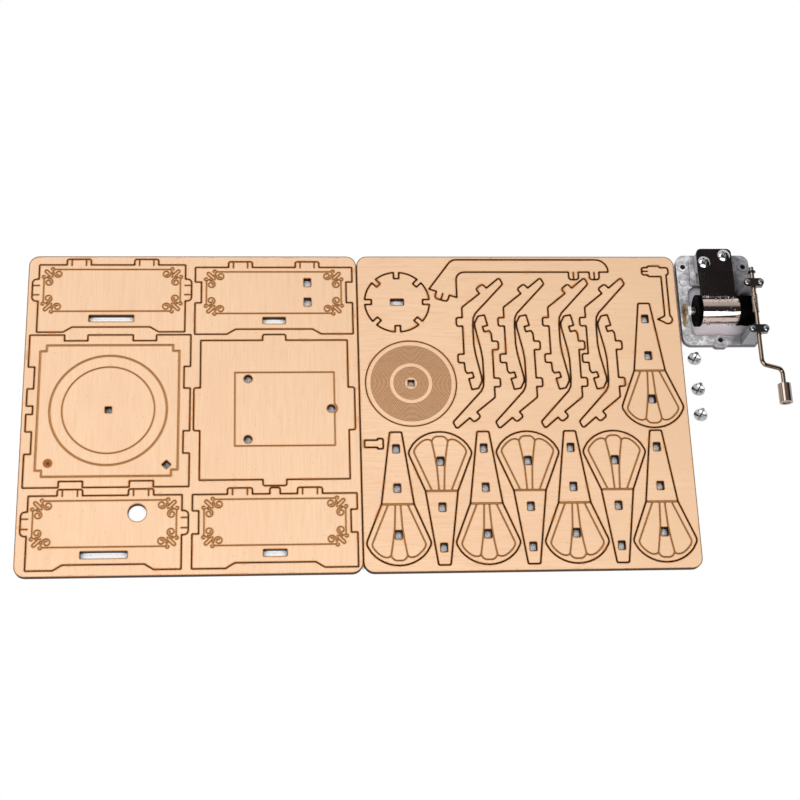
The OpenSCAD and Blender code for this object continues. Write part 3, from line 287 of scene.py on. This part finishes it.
# Floors of the engraved lines lie below the upper face, and well above the underside
BELOW_FACE = (PLY_TOP - 0.05 * MM, PLY_TOP - 0.1 * MM)
ABOVE_UNDERSIDE = (0, 0.5 * MM)
GOLDEN = [(160, 107, 58), (208, 153, 96)]
BROWN = [(78, 42, 14), (126, 78, 34)]

# The round mark on the top plate: its tones, and how far they reach from its middle
MARK_TONES = [(62, 30, 10), (172, 104, 48)]
MARK_CORE = (0.8 * MM, 2.0 * MM)
MARK_RIM = (2.6 * MM, 2.4 * MM)
MARK_RAGGED = 1.2 * MM


def engraved(s, base, soot, tones, mark_at):
    """Brown floors of the engraved lines, and a mark burnt deeper, darkest at its middle."""
    height = s.part(s.place, Z)
    below = s.times(s.span(height, *BELOW_FACE), s.span(height, *ABOVE_UNDERSIDE))
    lines = s.shades(soot, *tones)
    if mark_at:
        away = s.node("ShaderNodeVectorMath", operation="DISTANCE")
        s.put(s.place, away.inputs[0])
        away.inputs[1].default_value = mark_at
        reach = away.outputs["Value"]
        ragged = s.math("ADD", reach, s.times(soot, MARK_RAGGED))
        mark = s.shades(s.span(ragged, *MARK_CORE), *MARK_TONES)
        lines = s.mix(s.span(reach, *MARK_RIM), lines, mark)
    return s.mix(below, base, lines)


SOOT_PER_METRE = 900
CHAR_LAYERS = 160
CHAR_TONES = [(26, 11, 3), (58, 28, 9)]
CHAR_SOOT = (20, 11, 6)


def charred(s, soot):
    """Walls of the cuts, burnt black in the layers of the plywood."""
    layer = s.node("ShaderNodeTexWave", bands_direction="Z")
    s.put(s.place, layer.inputs["Vector"])
    layer.inputs["Scale"].default_value = CHAR_LAYERS
    layer.inputs["Distortion"].default_value = 0.4
    char = s.shades(layer.outputs["Fac"], *CHAR_TONES)
    return s.mix(s.span(soot, 0.4, 0.7, 0, 0.6), char, linear(*CHAR_SOOT))


def plywood(name, tone, figure_at, grain_along_y, scorch=0.0, halo=0.8, engraving=GOLDEN,
            shade_at=None, mark_at=None):
    """Birch plywood with burnt laser cuts, scorched lips and brown engraved lines."""
    s = Shader(name)
    base, relief = veneer(s, tone, figure_at, grain_along_y, shade_at)
    base = knotted(s, base, figure_at)
    base = scorched(s, base, figure_at, scorch, halo)
    soot = s.noise(SOOT_PER_METRE, detail=3)
    base = engraved(s, base, soot, engraving, mark_at)
    wall = s.span(s.flatness(), 0.5, 0.3)
    s.set(Base_Color=s.mix(wall, base, charred(s, soot)), Roughness=0.62, Specular_IOR_Level=0.25)
    s.bump(relief, distance=0.03 * MM, strength=0.35)
    return s.material


SLOT_SHADE_REACH = 0.7 * MM
SLOT_SHADE_TONE = (20, 18, 18)


def metal(name, colour, dark, roughness, grain=400, hollow=0.0):
    """Bare or plated metal with faint clouds and fine tool marks, and painted shade in its slots
    if hollow.
    """
    s = Shader(name)
    mark = s.noise(grain, detail=4)
    cloud = s.noise(120, detail=3)
    base = s.shades(s.span(cloud, 0.35, 0.7, 0, 0.25), colour, dark)
    if hollow:
        # Painted shade deep in slots and crosses
        base = s.mix(s.times(s.hollow(SLOT_SHADE_REACH), hollow), base, linear(*SLOT_SHADE_TONE))
    s.set(Base_Color=base, Metallic=1.0,
          Roughness=s.span(mark, 0.3, 0.7, roughness * 0.8, roughness * 1.25))
    s.bump(mark, distance=0.004 * MM, strength=0.5)
    return s.material


# The casting: heights of its pocket's floor and of the painted shade and light on its sides, and
# where painted shade darkens its right end
POCKET_FLOOR = (1.6 * MM, 1.2 * MM)
SIDE_SHADED_TO_LIT = (3.2 * MM, 4.2 * MM)
RIGHT_SHADE_FROM_TO = (148 * MM, 162 * MM)
EDGE_HIGHLIGHT_REACH = 0.5 * MM
CORNER_SHADE_REACH = 2.0 * MM
TOP_TONES = [(252, 251, 252), (176, 175, 179)]
TOP_CLOUD = (138, 137, 142)
TOP_PIT = (100, 99, 103)
POCKET_TONES = [(252, 247, 254), (228, 222, 234)]
SIDE_SHADED = [(66, 64, 67), (104, 102, 106)]
SIDE_LIT = [(150, 148, 152), (196, 194, 198)]
EDGE_HIGHLIGHT_TONE = (252, 252, 254)
RIGHT_SHADE_TONE = (150, 149, 154)
CORNER_SHADE_TONE = (38, 36, 38)


def casting(name):
    """Grey die-cast zinc: satin on its top faces, shinier and bluish on the pocket's floor, with
    painted light and shade on its sides, edges, corners and right end.
    """
    s = Shader(name)
    mottle = s.noise(430, detail=5, roughness=0.7)
    cloud = s.noise(120, detail=2)
    pit = s.noise(1100, detail=2)
    height = s.part(s.place, Z)
    top = s.shades(s.span(mottle, 0.42, 0.62), *TOP_TONES)
    top = s.mix(s.span(cloud, 0.42, 0.62, 0, 0.75), top, linear(*TOP_CLOUD))
    top = s.mix(s.span(pit, 0.6, 0.68, 0, 0.6), top, linear(*TOP_PIT))
    low = s.span(height, *POCKET_FLOOR)
    skin = s.mix(low, top, s.shades(s.span(mottle, 0.3, 0.7, 0, 0.4), *POCKET_TONES))
    # Side faces: painted light high up, where they catch the lamps, and painted shade near the
    # floor
    side = s.mix(s.span(height, *SIDE_SHADED_TO_LIT), s.shades(mottle, *SIDE_SHADED),
                 s.shades(mottle, *SIDE_LIT))
    skin = s.mix(s.span(s.flatness(), 0.6, 0.2), skin, side)
    # Painted highlight along its edges, painted shade towards its right end, and painted shade in
    # its corners
    skin = s.mix(s.times(s.edge(EDGE_HIGHLIGHT_REACH), 0.7), skin, linear(*EDGE_HIGHLIGHT_TONE))
    # Painted shade on the top faces towards the right end
    right_shade = s.times(s.span(s.part(s.place, X), *RIGHT_SHADE_FROM_TO), s.span(low, 0, 1, 1, 0))
    skin = s.mix(s.times(right_shade, 0.65), skin, linear(*RIGHT_SHADE_TONE), "MULTIPLY")
    # Painted shade in corners and at the feet of walls
    skin = s.mix(s.times(s.hollow(CORNER_SHADE_REACH), 0.6), skin, linear(*CORNER_SHADE_TONE))
    s.set(Base_Color=skin, Metallic=0.2, Roughness=s.span(low, 0, 1, 0.45, 0.34))
    s.bump(mottle, distance=0.05 * MM, strength=0.4)
    return s.material


# Depths below the thread's crest between which painted shade darkens the worm
WORM_CREST, WORM_ROOT = 0.12 * MM, 0.26 * MM
WORM_TONES = [(200, 182, 166), (34, 26, 20)]


def worm_metal(name):
    """The crank's metal, with painted shade between the worm's threads."""
    s = Shader(name)
    low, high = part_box("crank_worm")
    axis = (low + high) / 2
    away = s.node("ShaderNodeCombineXYZ")
    s.put(s.math("SUBTRACT", s.part(s.place, X), axis.x), away.inputs[X])
    s.put(s.math("SUBTRACT", s.part(s.place, Z), axis.z), away.inputs[Z])
    length = s.node("ShaderNodeVectorMath", operation="LENGTH")
    s.put(away.outputs[0], length.inputs[0])
    radius = (high.x - low.x) / 2
    root = s.span(length.outputs["Value"], radius - WORM_CREST, radius - WORM_ROOT)
    mark = s.noise(900, detail=3)
    s.set(Base_Color=s.shades(root, *WORM_TONES), Metallic=1.0,
          Roughness=s.span(mark, 0.3, 0.7, 0.18, 0.3))
    s.bump(mark, distance=0.004 * MM, strength=0.5)
    return s.material


def gloss(name, colour, roughness, coat=0.0, sheen=0.2):
    """Smooth dark plastic or blackened steel with a soft sheen."""
    s = Shader(name)
    mottle = s.noise(500, detail=3)
    lighter = tuple(part + 9 for part in colour)
    s.set(Base_Color=s.shades(s.span(mottle, 0.4, 0.7, 0, 0.5), colour, lighter),
          Roughness=s.span(mottle, 0.3, 0.7, roughness * 0.8, roughness * 1.3),
          Specular_IOR_Level=sheen, Coat_Weight=coat)
    s.bump(mottle, distance=0.01 * MM, strength=0.4)
    return s.material


def left_wood(name, **settings):
    return plywood(name, LEFT_TONE, LEFT_FIGURE_AT, True, **settings)


def right_wood(name, **settings):
    return plywood(name, RIGHT_TONE, RIGHT_FIGURE_AT, False, shade_at=SHADE_FROM_TO, **settings)


# Drawn metal: fine lines along x on the drum, and along y on the wire and the knob
DRUM_GRAIN = (60, 2200, 2200)
WIRE_GRAIN = (2400, 80, 2400)
KNOB_GRAIN = (2200, 60, 2200)

# One material for each slot of the record
materials = {
    "sheet_wood": left_wood("sheet_wood", scorch=0.95),
    "panel_wood": left_wood("panel_wood", scorch=0.5),
    "horn_wood": right_wood("horn_wood", scorch=1.0),
    "zinc_casting": casting("zinc_casting"),
    "bronze_plate": metal("bronze_plate", (176, 162, 140), (136, 122, 102), 0.5),
    "dark_steel": gloss("dark_steel", (20, 11, 9), 0.5),
    "bright_steel": metal("bright_steel", (196, 196, 198), (140, 140, 142), 0.2, hollow=0.9),
    "nickel_tube": metal("nickel_tube", (204, 186, 176), (164, 145, 134), 0.07, DRUM_GRAIN),
    "black_plastic": gloss("black_plastic", (3, 2, 2), 0.42, sheen=0.01),
    "black_steel": gloss("black_steel", (22, 20, 20), 0.28, coat=0.2),
    "crank_wire": metal("crank_wire", (138, 120, 105), (98, 83, 72), 0.14, WIRE_GRAIN),
    "zinc_screw": metal("zinc_screw", (188, 188, 190), (118, 118, 120), 0.2, hollow=0.95),
}

# The round mark's place, as shares of the top plate's side from its front left corner
MARK_SHARE_X, MARK_SHARE_Y = 0.144, 0.154
plate_low, plate_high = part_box("top_plate")
plate_side = plate_high.x - plate_low.x
mark_at = (plate_low.x + MARK_SHARE_X * plate_side, plate_low.y + MARK_SHARE_Y * plate_side,
           PLY_TOP)

# Nodes that look different from the rest of their slot
special = {
    "top_plate": left_wood("top_plate_wood", scorch=0.5, mark_at=mark_at),
    "sheet_frame_right": materials["horn_wood"],
    "crank_worm": worm_metal("worm_metal"),
    "bearing_bush": metal("bush_steel", (132, 126, 121), (72, 68, 66), 0.3, hollow=0.9),
    "clip_rivets": metal("rivet_steel", (150, 149, 148), (92, 91, 92), 0.28),
    "crank_knob": metal("knob_plating", (158, 141, 130), (116, 102, 90), 0.1, KNOB_GRAIN),
    "record_disc": right_wood("record_wood", halo=0.45, engraving=BROWN),
}

for row in frame["record"]["subparts"]:
    piece = nodes[row["node"]]
    material = special.get(row["node"], materials[row["material_slot"]])
    piece.data.materials.clear()
    piece.data.materials.append(material)


def room_material(name, albedo):
    """Plain white to the camera and in reflections, with painted shade in holes, and albedo to
    other light.
    """
    s = Shader(name)
    open_sky = s.openness(HOLE_REACH, samples=8)
    lit = s.span(open_sky, 0.25, 0.38)
    # Painted shade on the table, darkest where least of the room is open above it
    hole_shade = s.mix(s.span(open_sky, 0.04, 0.12), HOLE_DEEP_SHADE, HOLE_SHADE)
    s.set(Base_Color=s.mix(lit, hole_shade, (albedo, albedo, albedo, 1)), Roughness=0.9,
          Specular_IOR_Level=0.0)
    white = s.node("ShaderNodeEmission")
    path = s.node("ShaderNodeLightPath")
    seen = s.math("MAXIMUM", path.outputs["Is Camera Ray"], path.outputs["Is Glossy Ray"])
    seen = s.math("MAXIMUM", seen, path.outputs["Is Transmission Ray"])
    blend = s.node("ShaderNodeMixShader")
    s.put(s.times(seen, lit), blend.inputs[0])
    s.put(s.surface.outputs[0], blend.inputs[1])
    s.put(white.outputs[0], blend.inputs[2])
    s.put(blend.outputs[0], s.tree.nodes["Material Output"].inputs["Surface"])
    return s.material


def curtain_mesh():
    """Upright faces in a ring round the room."""
    turns = [math.radians(360 / CURTAIN_SIDES * i) for i in range(CURTAIN_SIDES)]
    ring = [(ROOM_R * math.cos(turn), ROOM_R * math.sin(turn), 0) for turn in turns]
    lip = []
    for (x, y, _), turn in zip(ring, turns):
        share = CURTAIN_MEAN + CURTAIN_SWING * math.cos(turn - CURTAIN_HIGH_AT)
        lip.append((x, y, CURTAIN_LOW + CURTAIN_RISE * min(1, max(0, share))))
    faces = []
    for i in range(CURTAIN_SIDES):
        after = (i + 1) % CURTAIN_SIDES
        faces.append((i, after, CURTAIN_SIDES + after, CURTAIN_SIDES + i))
    mesh = bpy.data.meshes.new("curtain")
    mesh.from_pydata(ring + lip, [], faces)
    return mesh


def make_room():
    """The table, which is the floor of the room, and the curtain round it."""
    bpy.ops.mesh.primitive_plane_add(size=2 * ROOM_R)
    floor = bpy.context.object
    floor.name = "floor"
    curtain = bpy.data.objects.new("curtain", curtain_mesh())
    bpy.context.scene.collection.objects.link(curtain)
    for piece, albedo in ((floor, FLOOR_ALBEDO), (curtain, CURTAIN_ALBEDO)):
        piece.data.materials.append(room_material(piece.name, albedo))


def make_world():
    """Soft light from beyond the room, whose brightness depends on its direction."""
    world = bpy.data.worlds.new("studio")
    bpy.context.scene.world = world
    world.use_nodes = True
    tree = world.node_tree
    sky = tree.nodes["Background"]
    place = tree.nodes.new("ShaderNodeTexCoord")
    split = tree.nodes.new("ShaderNodeSeparateXYZ")
    tree.links.new(place.outputs["Generated"], split.inputs[0])

    def ramp(axis, stops):
        """Brightness along one axis, from -1 to 1."""
        spread = tree.nodes.new("ShaderNodeMapRange")
        spread.inputs["From Min"].default_value = -1
        tree.links.new(split.outputs[axis], spread.inputs["Value"])
        made = tree.nodes.new("ShaderNodeValToRGB")
        tree.links.new(spread.outputs["Result"], made.inputs[0])
        elements = made.color_ramp.elements
        while len(elements) < len(stops):
            elements.new(0.5)
        for element, (at, level) in zip(elements, stops):
            element.position = (at + 1) / 2
            element.color = (level, level, level * ROOM_BLUE, 1)
        return made.outputs[0]

    room = tree.nodes.new("ShaderNodeMix")
    room.data_type = "RGBA"
    room.blend_type = "MULTIPLY"
    room.inputs[0].default_value = 1
    tree.links.new(ramp("Y", ROOM_DEPTH), room.inputs[COLOUR_A])
    tree.links.new(ramp("X", ROOM_SIDE), room.inputs[COLOUR_B])
    tree.links.new(room.outputs[COLOUR_OUT], sky.inputs["Color"])
    sky.inputs["Strength"].default_value = ROOM_LEVEL


def make_lamp(name, size, at, power):
    """A soft rectangular lamp that looks at the middle of the layout."""
    light = bpy.data.lights.new(name, "AREA")
    light.shape = "RECTANGLE"
    light.size, light.size_y = size
    light.energy = power
    made = bpy.data.objects.new(name, light)
    made.location = Vector(at)
    made.rotation_euler = (-Vector(at)).to_track_quat("-Z", "Y").to_euler()
    bpy.context.scene.collection.objects.link(made)


def make_camera():
    """The photograph's camera."""
    forward = Vector((math.sin(CAMERA_PAN), math.sin(CAMERA_TILT) * math.cos(CAMERA_PAN),
                      -math.cos(CAMERA_TILT) * math.cos(CAMERA_PAN))).normalized()
    right = forward.cross(Vector((0, 1, 0))).normalized()
    up = right.cross(forward)
    across = math.cos(CAMERA_ROLL) * right + math.sin(CAMERA_ROLL) * up
    upright = math.cos(CAMERA_ROLL) * up - math.sin(CAMERA_ROLL) * right
    camera = bpy.data.objects.new("camera", bpy.data.cameras.new("camera"))
    camera.data.sensor_width = SENSOR_MM
    camera.data.lens = CAMERA_FOCAL_PX * SENSOR_MM / PHOTO_PX
    camera.data.clip_start, camera.data.clip_end = CAMERA_CLIP
    turn = Matrix((across, upright, -forward)).transposed()
    camera.matrix_world = Matrix.Translation(CAMERA_AT) @ turn.to_4x4()
    bpy.context.scene.collection.objects.link(camera)
    bpy.context.scene.camera = camera


make_room()
make_world()
make_lamp("key", KEY_SIZE, KEY_AT, KEY_POWER)
make_lamp("fill", FILL_SIZE, FILL_AT, FILL_POWER)
make_camera()
bpy.context.scene.view_settings.view_transform = "Standard"
